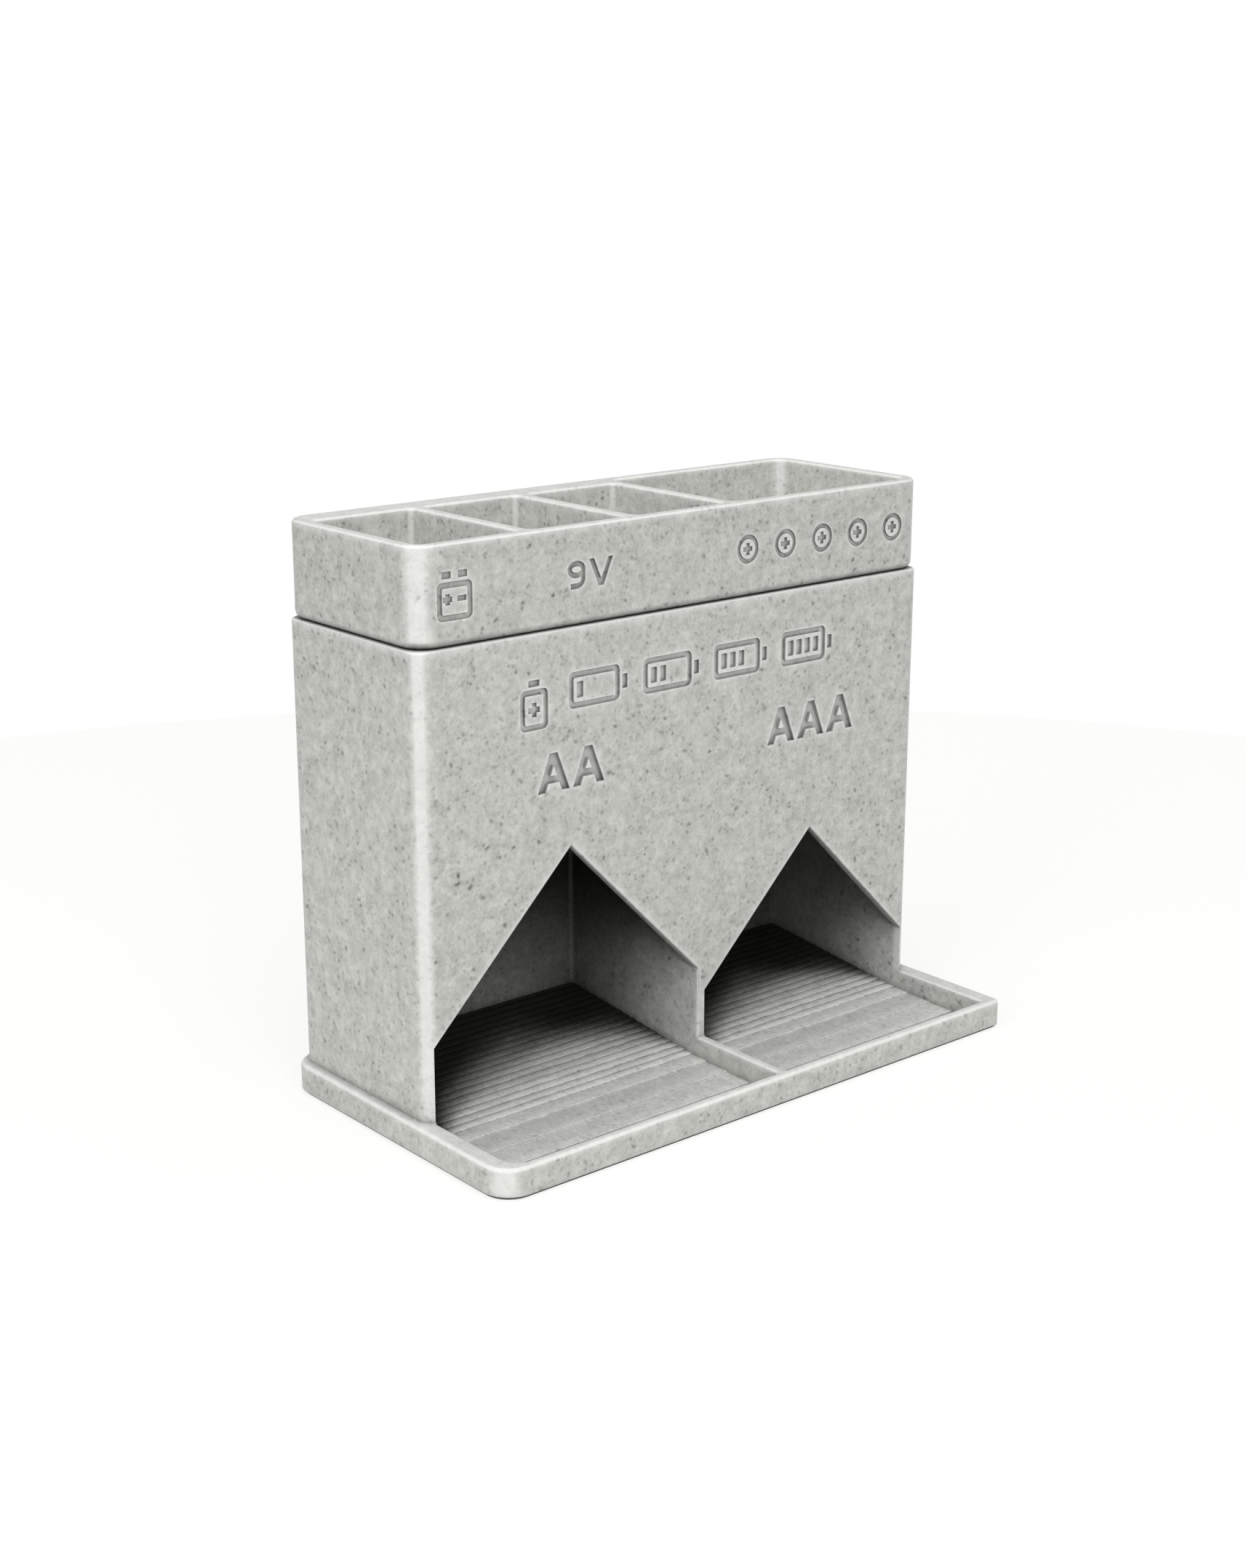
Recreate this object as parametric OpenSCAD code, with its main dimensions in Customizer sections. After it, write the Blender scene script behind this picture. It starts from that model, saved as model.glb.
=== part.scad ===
// Battery dispenser in two printed pieces: a body with an AA bay and an AAA bay, stepped
// ramps and a rimmed apron, and a lift-off tray with pockets for 9 V blocks and coin cells.
// Origin at the middle of the base's underside, +Z up, the apron towards -Y. Millimetres.

/* [Cells] */
// Length of an AA cell
aa_length = 50.5; // [49:0.1:52]
// Diameter of an AA cell
aa_diameter = 14.5; // [14:0.1:15]
// Length of an AAA cell
aaa_length = 44.5; // [43:0.1:46]
// Diameter of an AAA cell
aaa_diameter = 10.5; // [10:0.1:11]
// Play at the two ends of a cell in its bay, taken together
cell_play = 1.5; // [0.5:0.1:4]
// Height left over a cell at its outlet
outlet_clearance = 0.7; // [0.3:0.1:3]

/* [Housing] */
// Wall of the housing
wall = 1.6; // [1.2:0.1:2.2]
// Divider between the two bays
divider = 1.6; // [1.2:0.1:3]
// Depth of the bays from front to back
bay_depth = 30.8; // [30:0.1:48]
// Height of the housing's top edge
housing_height = 76.5; // [60:0.5:140]
// Radius of the housing's outer vertical corners
housing_corner = 2.5; // [2.3:0.1:3.5]
// Rounding of the housing's top edge
housing_edge = 0.4; // [0.2:0.1:0.6]

/* [Base] */
// Distance that the base stands out at the sides and the back
base_ledge = 1.6; // [1:0.1:4]
// Height of the base's rim
base_height = 5; // [4:0.1:8]
// Distance from the housing's front face to the front of the base
apron_reach = 20.5; // [18:0.5:40]
// Thickness of the rim along the front of the apron
front_rim = 1.6; // [1.2:0.1:3]
// Radius of the base's outer vertical corners
base_corner = 4.8; // [3:0.1:5.2]
// Rounding of the rim's top edge
base_edge = 0.8; // [0.2:0.1:1.2]
// Chamfer around the underside
foot_chamfer = 0.6; // [0.2:0.1:0.8]

/* [Ramp] */
// Thickness of the floor at the front of the apron
apron_floor = 1; // [0.8:0.2:1.4]
// Height of one printed step
step_height = 0.2; // [0.1:0.05:0.3]
// Steps from the apron's front floor up to the outlets
apron_steps = 3; // [1:1:4]
// Slope of the apron, in degrees
apron_slope = 2.2; // [1.6:0.1:3.5]
// Slope of the ramp inside the housing, in degrees
ramp_slope = 6.45; // [4:0.05:9]
// Distance from the housing's front face out to the apron's last step
apron_step_setback = 2; // [0.5:0.1:4]
// Distance from the housing's front face in to the ramp's first step
ramp_step_setback = 1.25; // [0.5:0.05:3]

/* [Tray] */
// Height of the tray above the housing
tray_height = 15; // [10:0.5:30]
// Thickness of the tray's floor
tray_floor = 2; // [1.2:0.1:4]
// Walls around and between the pockets
tray_wall = 2; // [1.4:0.1:2.4]
// Radius of the tray's outer vertical corners
tray_corner = 4; // [3.4:0.1:4.5]
// Rounding around the tray's underside
tray_foot = 1.2; // [0.4:0.1:1.4]
// Rounding of the tray's top edges
tray_edge = 0.6; // [0.2:0.1:0.7]
// Number of pockets for 9 V blocks
block_pockets = 3; // [1:1:4]
// Width of a 9 V block, left to right
block_width = 17.5; // [17:0.1:18]
// Depth of a 9 V block, front to back
block_depth = 26.5; // [26:0.1:27]
// Play around a 9 V block in its pocket
block_play = 0.5; // [0.2:0.1:1]
// Radius of the pockets' vertical corners
pocket_corner = 1; // [0.6:0.1:1.8]

/* [Locating lip] */
// Depth of the lip that reaches down into the housing
lip_depth = 4; // [2:0.5:10]
// Thickness of the lip
lip_wall = 1.6; // [1.2:0.1:3]
// Gap between the lip and the housing's walls
lip_clearance = 0.3; // [0.2:0.05:0.6]
// Gap between the lip and the top of the divider
divider_clearance = 0.5; // [0.3:0.1:2]

/* [Hidden] */
$fn = 64;
// How far a cut runs past the face that it opens
over = 1;

// Inner widths of the two bays, and the outer sizes
aa_bay = aa_length + cell_play;
aaa_bay = aaa_length + cell_play;
housing_width = wall + aa_bay + divider + aaa_bay + wall;
housing_depth = wall + bay_depth + wall;
base_width = housing_width + 2 * base_ledge;
base_depth = apron_reach + housing_depth + base_ledge;

// Where the housing stands on the base
front_y = -base_depth / 2 + apron_reach;
back_y = front_y + housing_depth;
housing_y = (front_y + back_y) / 2;
apron_front_y = -base_depth / 2 + front_rim;

// Left edges of the two bays, and the radius of their corners
aa_x = -housing_width / 2 + wall;
aaa_x = aa_x + aa_bay + divider;
bay_corner = housing_corner - wall;

// Floor levels and the depth of one tread
outlet_floor = apron_floor + apron_steps * step_height;
apron_tread = step_height / tan(apron_slope);
ramp_tread = step_height / tan(ramp_slope);
ramp_steps = 1 + floor((housing_depth - wall - ramp_step_setback) / ramp_tread);

// The divider ends below the tray's lip
divider_top = housing_height - lip_depth - divider_clearance;

// Pockets of the tray
block_pocket_x = block_width + block_play;
block_pocket_y = block_depth + block_play;
coin_x = -housing_width / 2 + tray_wall + block_pockets * (block_pocket_x + tray_wall);
coin_pocket_x = housing_width / 2 - tray_wall - coin_x;
coin_pocket_y = housing_depth - 2 * tray_wall;
pocket_floor_z = housing_height + tray_floor;
tray_top_z = housing_height + tray_height;

// Rounded rectangle with its lower left corner at the origin
module rounded_rectangle(width, depth, radius) {
    translate([radius, 0]) square([width - 2 * radius, depth]);
    translate([0, radius]) square([width, depth - 2 * radius]);
    for (x = [radius, width - radius], y = [radius, depth - radius])
        translate([x, y]) circle(radius);
}

// What a rounding of the given radius takes off the upper right corner of a section
module rounding_waste(radius) {
    difference() {
        translate([-radius, -radius]) square([radius + over, radius + over]);
        translate([-radius, -radius]) circle(radius);
    }
}

// What a chamfer takes off the lower right corner of a section
module chamfer_waste(size) {
    polygon([[-size - over, -over], [over, -over], [over, size + over]]);
}

// Right half of a block's section, from its middle line out to the given reach
module half_section(reach, height, top_round, foot_round, foot_cut) {
    difference() {
        square([reach, height]);
        if (top_round > 0) translate([reach, height]) rounding_waste(top_round);
        if (foot_round > 0) translate([reach, 0]) mirror([0, 1]) rounding_waste(foot_round);
        if (foot_cut > 0) translate([reach, 0]) chamfer_waste(foot_cut);
    }
}

// Upright block with round corners and eased upper and lower edges, centred on the origin
module eased_block(width, depth, height, corner, top_round = 0, foot_round = 0, foot_cut = 0) {
    for (x = [corner - width / 2, width / 2 - corner], y = [corner - depth / 2, depth / 2 - corner])
        translate([x, y, 0])
            rotate_extrude() half_section(corner, height, top_round, foot_round, foot_cut);
    for (side = [0, 1]) mirror([side, 0, 0])
        rotate([90, 0, 0])
            translate([0, 0, corner - depth / 2])
                linear_extrude(depth - 2 * corner)
                    half_section(width / 2, height, top_round, foot_round, foot_cut);
    for (side = [0, 1]) mirror([0, side, 0])
        translate([corner - width / 2, 0, 0])
            rotate([90, 0, 90])
                linear_extrude(width - 2 * corner)
                    half_section(depth / 2, height, top_round, foot_round, foot_cut);
}

// Right half of a well's section: straight sides that flare over a rounded upper edge
module half_well(reach, depth, edge) {
    square([reach, depth + over]);
    translate([0, depth - edge]) difference() {
        square([reach + edge, edge + over]);
        translate([reach + edge, 0]) circle(edge);
    }
}

// Upright well with round corners, open at the top, with its lower left corner at the origin
module eased_well(width, depth, height, corner, edge) {
    for (x = [corner, width - corner], y = [corner, depth - corner])
        translate([x, y, 0]) rotate_extrude() half_well(corner, height, edge);
    translate([width / 2, depth / 2, 0]) {
        for (side = [0, 1]) mirror([side, 0, 0])
            rotate([90, 0, 0])
                translate([0, 0, corner - depth / 2])
                    linear_extrude(depth - 2 * corner) half_well(width / 2, height, edge);
        for (side = [0, 1]) mirror([0, side, 0])
            translate([corner - width / 2, 0, 0])
                rotate([90, 0, 90])
                    linear_extrude(width - 2 * corner) half_well(depth / 2, height, edge);
    }
}

// Place of each riser along Y, from the front of the apron to the back wall
riser_y = concat(
    [for (i = [apron_steps - 1:-1:0]) front_y - apron_step_setback - i * apron_tread],
    [for (i = [0:ramp_steps - 1]) front_y + ramp_step_setback + i * ramp_tread]
);

// Side view of everything above the stepped floor, as Y and Z
module space_over_floor(from_y, to_y, top) {
    steps = [for (i = [0:len(riser_y) - 1])
        each [[riser_y[i], apron_floor + i * step_height],
              [riser_y[i], apron_floor + (i + 1) * step_height]]];
    floor_end = apron_floor + len(riser_y) * step_height;
    intersection() {
        polygon(concat([[apron_front_y, top], [apron_front_y, apron_floor]], steps,
                       [[back_y, floor_end], [back_y, top]]));
        translate([from_y, 0]) square([to_y - from_y, top]);
    }
}

// Inside of one bay, from its ramp up through the open top
module bay_space(x, width) {
    intersection() {
        translate([x, 0, 0]) rotate([90, 0, 90])
            linear_extrude(width)
                space_over_floor(front_y + wall, back_y - wall, housing_height + over);
        translate([x, front_y + wall, 0])
            linear_extrude(housing_height + over)
                rounded_rectangle(width, bay_depth, bay_corner);
    }
}

// House-shaped outlet of one bay with the part of the apron in front of it
module outlet_space(x, width, cell) {
    spring = outlet_floor + cell + outlet_clearance;
    intersection() {
        translate([x, 0, 0]) rotate([90, 0, 90])
            linear_extrude(width)
                space_over_floor(apron_front_y, front_y + housing_corner, housing_height);
        translate([x, apron_front_y, 0])
            linear_extrude(housing_height)
                rounded_rectangle(width, base_depth, base_corner - front_rim);
        translate([x, back_y, 0]) rotate([90, 0, 0])
            linear_extrude(base_depth)
                polygon([[0, 0], [width, 0], [width, spring],
                         [width / 2, spring + width / 2], [0, spring]]);
    }
}

// Housing, divider, ramps and rimmed base, printed upright in one piece
module dispenser_body() {
    color("#c4c6c1")
    difference() {
        union() {
            eased_block(base_width, base_depth, base_height, base_corner,
                        top_round = base_edge, foot_cut = foot_chamfer);
            translate([0, housing_y, foot_chamfer])
                eased_block(housing_width, housing_depth, housing_height - foot_chamfer,
                            housing_corner, top_round = housing_edge);
        }
        bay_space(aa_x, aa_bay);
        bay_space(aaa_x, aaa_bay);
        outlet_space(aa_x, aa_bay, aa_diameter);
        outlet_space(aaa_x, aaa_bay, aaa_diameter);
        translate([aaa_x - divider - bay_corner, front_y + wall, divider_top])
            cube([divider + 2 * bay_corner, bay_depth, housing_height]);
    }
}

// Pockets for 9 V blocks from the left, and one for coin cells that takes what is left
module tray_pockets() {
    translate([0, front_y + tray_wall, pocket_floor_z]) {
        for (i = [0:block_pockets - 1])
            translate([-housing_width / 2 + tray_wall + i * (block_pocket_x + tray_wall), 0, 0])
                eased_well(block_pocket_x, block_pocket_y, tray_height - tray_floor,
                           pocket_corner, tray_edge);
        translate([coin_x, 0, 0])
            eased_well(coin_pocket_x, coin_pocket_y, tray_height - tray_floor,
                       tray_corner - tray_wall, tray_edge);
    }
}

// Ring under the tray's floor that drops into the housing
module locating_lip() {
    inset = wall + lip_clearance;
    ring_width = housing_width - 2 * inset;
    ring_depth = housing_depth - 2 * inset;
    ring_corner = max(bay_corner - lip_clearance, 0.3);
    translate([-ring_width / 2, housing_y - ring_depth / 2, housing_height - lip_depth])
        linear_extrude(lip_depth + tray_floor / 2)
            difference() {
                rounded_rectangle(ring_width, ring_depth, ring_corner);
                translate([lip_wall, lip_wall])
                    square([ring_width - 2 * lip_wall, ring_depth - 2 * lip_wall]);
            }
}

// Lift-off tray that closes the housing
module top_tray() {
    color("#c8cac5")
    union() {
        difference() {
            translate([0, housing_y, housing_height])
                eased_block(housing_width, housing_depth, tray_height, tray_corner,
                            top_round = tray_edge, foot_round = tray_foot);
            tray_pockets();
        }
        locating_lip();
    }
}

dispenser_body();
top_tray();
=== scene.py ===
import math

import bmesh
import bpy
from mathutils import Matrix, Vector
from mathutils.geometry import tessellate_polygon


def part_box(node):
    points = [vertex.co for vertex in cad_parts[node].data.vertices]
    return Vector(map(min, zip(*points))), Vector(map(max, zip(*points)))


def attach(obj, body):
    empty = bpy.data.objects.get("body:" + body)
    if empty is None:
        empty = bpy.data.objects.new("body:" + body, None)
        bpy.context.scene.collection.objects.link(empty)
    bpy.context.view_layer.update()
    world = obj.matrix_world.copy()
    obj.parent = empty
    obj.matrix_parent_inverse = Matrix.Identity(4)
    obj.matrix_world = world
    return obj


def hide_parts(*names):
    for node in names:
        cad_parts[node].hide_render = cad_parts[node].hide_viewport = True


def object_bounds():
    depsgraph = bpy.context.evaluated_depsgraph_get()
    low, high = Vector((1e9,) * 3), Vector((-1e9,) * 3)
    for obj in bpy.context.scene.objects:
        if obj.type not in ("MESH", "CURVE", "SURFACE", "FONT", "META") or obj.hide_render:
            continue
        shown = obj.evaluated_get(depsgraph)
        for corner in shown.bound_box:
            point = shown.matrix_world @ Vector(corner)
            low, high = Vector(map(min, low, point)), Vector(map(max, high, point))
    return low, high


bl_info = {
    "name": "Battery dispenser",
    "version": (1, 0, 0),
    "blender": (4, 5, 0),
    "location": "3D View > Sidebar > Dispenser",
    "description": "Builds the looks of a two-piece printed battery dispenser over its CAD parts",
    "category": "Object",
}

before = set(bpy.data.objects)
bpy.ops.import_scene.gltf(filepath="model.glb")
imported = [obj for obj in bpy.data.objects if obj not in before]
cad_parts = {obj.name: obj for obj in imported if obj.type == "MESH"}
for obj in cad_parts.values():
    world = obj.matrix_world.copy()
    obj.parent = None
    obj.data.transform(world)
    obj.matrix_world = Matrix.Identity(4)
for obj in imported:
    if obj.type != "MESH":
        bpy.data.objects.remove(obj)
CAD_LOW, CAD_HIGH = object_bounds()
BODY_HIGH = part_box("dispenser_body")[1]
TRAY_LOW, TRAY_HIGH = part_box("top_tray")

# Sizes below are in millimetres unless said otherwise, and the meshes are made in metres
MM = 0.001

# Places that come from the CAD parts
BASE_X = BODY_HIGH[0] / MM
BASE_Y = BODY_HIGH[1] / MM
HOUSING_TOP = BODY_HIGH[2] / MM
HOUSING_X = TRAY_HIGH[0] / MM
FRONT_Y = TRAY_LOW[1] / MM
BACK_Y = TRAY_HIGH[1] / MM
TRAY_TOP = TRAY_HIGH[2] / MM

# Walls, floors and rims of the body
WALL = 1.6
FRONT_RIM = 1.6
RIM_TOP = 5.0
FLOOR_TOP = 1.0
APRON_FRONT = FRONT_RIM - BASE_Y
BAY_FRONT = FRONT_Y + WALL
BAY_BACK = BACK_Y - WALL
OUTLET_BACK = FRONT_Y + 2.5
DIVIDER_TOP = 72.0

# Height inside the base where the housing starts, and how far cutters reach past what they cut
HOUSING_LOW = 2.0
PAST = 1.0

# Radii of upright corners. The base's right front corner is nearly square, and so are the corners
# of the apron's wells beside the low divider and at the right.
BASE_CORNER = 4.8
BASE_SHARP_CORNER = 1.2
WELL_SHARP_CORNER = 0.4
HOUSING_CORNER = 2.5
TRAY_CORNER = 4.0

# Left and right side of each bay, and the height where its outlet starts to narrow
AA_LANE = (-49.8, 2.2, 16.8)
AAA_LANE = (3.8, 49.8, 12.8)

# Printed layers: front edges of the apron's upper one and of the ramp's lowest one, how many there
# are, how long each is, and how far they run into the walls
APRON_UPPER_Y = FRONT_Y - 2.0
RAMP_LOWEST_Y = FRONT_Y + 1.25
APRON_LAYERS = 3
RAMP_LAYERS = 18
LAYER_LENGTH = 48.0
INTO_WALL = 0.3

# Pockets of the tray as left, right and back side, and radius of their corners
POCKET_FRONT = FRONT_Y + 2.0
POCKET_FLOOR = HOUSING_TOP + 2.0
POCKETS = (
    (-49.4, -31.4, 21.45, 1.0),
    (-29.4, -11.4, 21.45, 1.0),
    (-9.4, 8.6, 21.45, 1.0),
    (10.6, 49.4, 24.45, 2.0),
)

# Locating lip under the tray, with its play to the housing
LIP_DEPTH = 4.0
LIP_WALL = 1.6
LIP_PLAY = 0.3
LIP_CORNER = 0.6
LIP_INNER_CORNER = 0.1

# Engraved marks on the front: left side and foot of the first one, and the pitch of its row
STANDING_CELL_AT = (-33.2, 62.0)
LYING_CELLS_AT = (-24.1, 64.1, 14.5)
AA_LETTERS_AT = (-30.1, 52.0, 6.7)
AAA_LETTERS_AT = (16.7, 51.5, 6.65)
BLOCK_CELL_AT = (-47.6, 80.4)
COIN_CELLS_AT = (9.5, 81.8, 8.1)
NINE_AT = (-24.2, 82.1)
LETTER_V_AT = (-20.1, 82.1)

# Table top: its middle and radius in metres
TABLE_MIDDLE = (-0.084, -0.094)
TABLE_RADIUS = 0.367

# Camera, in metres, degrees and millimetres of focal length
CAMERA_PLACE = (-0.22985, -0.26453, 0.14667)
CAMERA_DOWN = 15.943
CAMERA_TURN = -40.079
CAMERA_LENS = 52.468


def linear(code):
    """Linear colour with alpha from an sRGB hex value such as #c4c6c1."""
    parts = [int(code[i : i + 2], 16) / 255 for i in (1, 3, 5)]
    return [c / 12.92 if c <= 0.04045 else ((c + 0.055) / 1.055) ** 2.4 for c in parts] + [1.0]


def add_node(tree, kind, inputs=None, **settings):
    """Adds a node with its settings, and with a value or a link for each input that isn't None."""
    made = tree.nodes.new(kind)
    for name, value in settings.items():
        setattr(made, name, value)
    for name, value in (inputs or {}).items():
        if isinstance(value, bpy.types.NodeSocket):
            tree.links.new(value, made.inputs[name])
        elif value is not None:
            made.inputs[name].default_value = value
    return made


def output(tree, kind, inputs=None, **settings):
    """Adds a node in the same way and gives its first output."""
    return add_node(tree, kind, inputs, **settings).outputs[0]


def empty_tree(owner):
    """Node tree of a new material or world, without the nodes that it starts with."""
    owner.use_nodes = True
    owner.node_tree.nodes.clear()
    return owner.node_tree


# Outlines and solids


def arc(x, y, reach_x, reach_y, start, end, steps):
    """Points along part of an ellipse."""
    turns = [math.radians(start + (end - start) * k / steps) for k in range(steps + 1)]
    return [(x + reach_x * math.cos(t), y + reach_y * math.sin(t)) for t in turns]


def rectangle(x0, y0, x1, y1, radii, steps=14):
    """Outline of a rectangle with rounded corners: front left, front right, back right, back left."""
    corners = ((x0, y0, 1, 1, 180), (x1, y0, -1, 1, 270), (x1, y1, -1, -1, 0), (x0, y1, 1, -1, 90))
    points = []
    for (x, y, inward_x, inward_y, start), radius in zip(corners, radii):
        middle = (x + inward_x * radius, y + inward_y * radius)
        points += arc(*middle, radius, radius, start, start + 90, steps)
    return points


def quarter(radius, steps=8):
    """Points of a quarter circle as distance in from the side and distance down from the edge."""
    turns = [math.radians(90 * k / steps) for k in range(steps + 1)]
    return [(radius * (1 - math.cos(t)), radius * (1 - math.sin(t))) for t in turns]


def new_piece(name, mesh):
    """Links a new object for a mesh made in mesh code, with its faces turned outwards."""
    bmesh.ops.remove_doubles(mesh, verts=mesh.verts, dist=2e-7)
    bmesh.ops.recalc_face_normals(mesh, faces=mesh.faces)
    data = bpy.data.meshes.new(name)
    mesh.to_mesh(data)
    mesh.free()
    piece = bpy.data.objects.new(name, data)
    bpy.context.scene.collection.objects.link(piece)
    return piece


def loft(name, rings):
    """Closed solid through rings of as many points each."""
    mesh = bmesh.new()
    rows = [[mesh.verts.new(Vector(point) * MM) for point in ring] for ring in rings]
    count = len(rows[0])
    for lower, upper in zip(rows, rows[1:]):
        for i in range(count):
            j = (i + 1) % count
            mesh.faces.new((lower[i], lower[j], upper[j], upper[i]))
    mesh.faces.new(rows[0][::-1])
    mesh.faces.new(rows[-1])
    return new_piece(name, mesh)


def block(name, side, radii, foot, top):
    """Upright block. Foot and top list insets from its sides with the height of each."""
    x0, y0, x1, y1 = side
    rings = []
    for inset, z in foot + top:
        corners = [max(radius - inset, 0.05) for radius in radii]
        outline = rectangle(x0 + inset, y0 + inset, x1 - inset, y1 - inset, corners)
        rings.append([(x, y, z) for x, y in outline])
    return loft(name, rings)


def well(name, side, radii, floor, top, flare, open_back=False):
    """Cutter of an upright well whose mouth flares over a rounded edge."""
    x0, y0, x1, y1 = side
    levels = [(0, floor)] + [(inset, top - drop) for inset, drop in quarter(flare, 6)]
    levels.append((flare, top + PAST))
    rings = []
    for grow, z in levels:
        back = y1 if open_back else y1 + grow
        corners = [radius + grow if radius else 0 for radius in radii]
        outline = rectangle(x0 - grow, y0 - grow, x1 + grow, back, corners)
        rings.append([(x, y, z) for x, y in outline])
    return loft(name, rings)


def gable(name, lane, floor, stations):
    """Cutter of an outlet with a roof of 45 degrees, as places along Y and its growth there."""
    left, right, spring = lane
    middle = (left + right) / 2
    rings = []
    for y, grow in stations:
        shoulder = spring + grow * math.tan(math.radians(22.5))
        peak = spring + middle - left + grow * math.sqrt(2)
        left_side, right_side = left - grow, right + grow
        sill = [(left_side, y, floor), (right_side, y, floor)]
        roof = [(right_side, y, shoulder), (middle, y, peak), (left_side, y, shoulder)]
        rings.append(sill + roof)
    return loft(name, rings)


def bake(piece):
    """Turns a piece with its modifiers into a plain mesh."""
    graph = bpy.context.evaluated_depsgraph_get()
    old = piece.data
    made = bpy.data.meshes.new_from_object(piece.evaluated_get(graph))
    piece.modifiers.clear()
    piece.data = made
    bpy.data.meshes.remove(old)


def combine(piece, tool, operation="DIFFERENCE"):
    """Joins a second solid to a piece or cuts it out."""
    step = piece.modifiers.new(operation.title(), "BOOLEAN")
    step.object = tool
    step.operation = operation
    step.solver = "EXACT"
    bake(piece)
    shape = tool.data
    bpy.data.objects.remove(tool)
    bpy.data.meshes.remove(shape)


def dress(piece, name, material):
    """Gives a finished solid clean shading, its name and its material."""
    mesh = bmesh.new()
    mesh.from_mesh(piece.data)
    bmesh.ops.remove_doubles(mesh, verts=mesh.verts, dist=1e-6)
    bmesh.ops.dissolve_degenerate(mesh, edges=mesh.edges, dist=1e-6)
    for face in mesh.faces:
        face.smooth = True
    for edge in mesh.edges:
        edge.smooth = len(edge.link_faces) == 2 and edge.calc_face_angle() < math.radians(30)
    mesh.to_mesh(piece.data)
    mesh.free()
    even = piece.modifiers.new("Even normals", "WEIGHTED_NORMAL")
    even.keep_sharp = True
    bake(piece)
    piece.name = name
    piece.data.name = name
    piece.data.materials.clear()
    piece.data.materials.append(material)


# Engraved marks, as outlines with their holes

# Length of a cell's terminal with the gap before it, that gap, and radius of the terminal's corners
TERMINAL = 1.5
TERMINAL_GAP = 0.45
SHORT_TERMINAL = 1.4
SHORT_GAP = 0.4
NUB_CORNER = 0.15


def letter_a(width, height, stroke):
    """The letter A with a flat top."""
    run = (width - stroke) / 2
    low, high = height * 0.22, height * 0.22 + stroke * 0.8
    inner_low = stroke + run * low / height
    inner_high = stroke + run * high / height
    tip = height * (width / 2 - stroke) / run
    outer = [(0, 0), (stroke, 0), (inner_low, low), (width - inner_low, low), (width - stroke, 0)]
    outer += [(width, 0), (width - run, height), (run, height)]
    hole = [(inner_high, high), (width / 2, tip), (width - inner_high, high)]
    return [(outer, [hole])]


def letter_v(width, height, stroke):
    """The letter V with a flat foot."""
    run = (width - stroke) / 2
    tip = height * (1 - (width / 2 - stroke) / run)
    outer = [(run, 0), (width - run, 0), (width, height), (width - stroke, height)]
    outer += [(width / 2, tip), (stroke, height), (0, height)]
    return [(outer, [])]


def figure_nine(width, height, stroke):
    """The figure 9: a closed bowl over a hooked tail."""
    half = width / 2
    bowl = height * 0.31
    centre = height - bowl
    meet = math.degrees(math.acos((half - stroke) / half))
    outer = arc(half, centre, half, bowl, 0, 360 - meet, 28)
    outer += arc(half, bowl * 1.1, half - stroke, bowl * 1.1 - stroke, 0, -90, 8)
    outer += [(stroke * 0.7, stroke), (stroke * 0.7, 0)]
    outer += arc(half, bowl * 1.1, half, bowl * 1.1, -90, 0, 10)
    hole = arc(half, centre, half - stroke, bowl - stroke, 0, 345, 23)
    return [(outer, [hole])]


def plus_sign(x, y, size, stroke):
    """Plus sign centred on a point."""
    near, far = stroke / 2, size / 2
    arm = [(near, near), (near, far), (-near, far)]
    corners = []
    for turn in range(4):
        corners += arm
        arm = [(-b, a) for a, b in arm]
    return [([(x + a, y + b) for a, b in corners], [])]


def bar(x0, y0, x1, y1, radius):
    """Filled bar with rounded corners."""
    return [(rectangle(x0, y0, x1, y1, [radius] * 4, 4), [])]


def cell_frame(x0, y0, x1, y1, stroke, nub):
    """Outline of a battery. Nub gives the side of its terminal bump: a box beyond the outline."""
    ring = rectangle(x0, y0, x1, y1, [stroke] * 4, 5)
    inside = rectangle(x0 + stroke, y0 + stroke, x1 - stroke, y1 - stroke, [stroke * 0.3] * 4, 3)
    return [(ring, [inside])] + bar(*nub, NUB_CORNER)


def lying_cell(width, height, stroke, bars):
    """Battery lying on its side with one to four bars of charge."""
    body = width - TERMINAL
    nub = (body + TERMINAL_GAP, height * 0.3, width, height * 0.7)
    marks = cell_frame(0, 0, body, height, stroke, nub)
    gap = 0.6
    pitch = (body - 2 * stroke - gap) / 4
    for k in range(bars):
        x = stroke + gap + k * pitch
        marks += bar(x, stroke + gap, x + pitch - gap, height - stroke - gap, 0.2)
    return marks


def standing_cell(width, height, stroke):
    """Battery standing upright with a plus sign on it."""
    body = height - SHORT_TERMINAL
    nub = (width * 0.3, body + SHORT_GAP, width * 0.7, height)
    marks = cell_frame(0, 0, width, body, stroke, nub)
    return marks + plus_sign(width / 2, body / 2, width * 0.42, stroke)


def block_cell(width, height, stroke):
    """Nine-volt block with its two terminals."""
    body = height - TERMINAL
    nub_foot = body + TERMINAL_GAP
    marks = cell_frame(0, 0, width, body, stroke, (width * 0.14, nub_foot, width * 0.4, height))
    marks += bar(width * 0.6, nub_foot, width * 0.86, height, NUB_CORNER)
    level, half = body * 0.55, stroke * 0.45
    marks += plus_sign(width * 0.3, level, width * 0.26, 2 * half)
    return marks + bar(width * 0.57, level - half, width * 0.83, level + half, 0.1)


def coin_cell(size, stroke):
    """Round cell seen from its flat side, with a plus sign on it."""
    half = size / 2
    outer = arc(half, half, half, half, 0, 352.5, 47)
    inner = arc(half, half, half - stroke, half - stroke, 0, 352.5, 47)
    return [(outer, [inner])] + plus_sign(half, half, size * 0.42, stroke)


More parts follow.
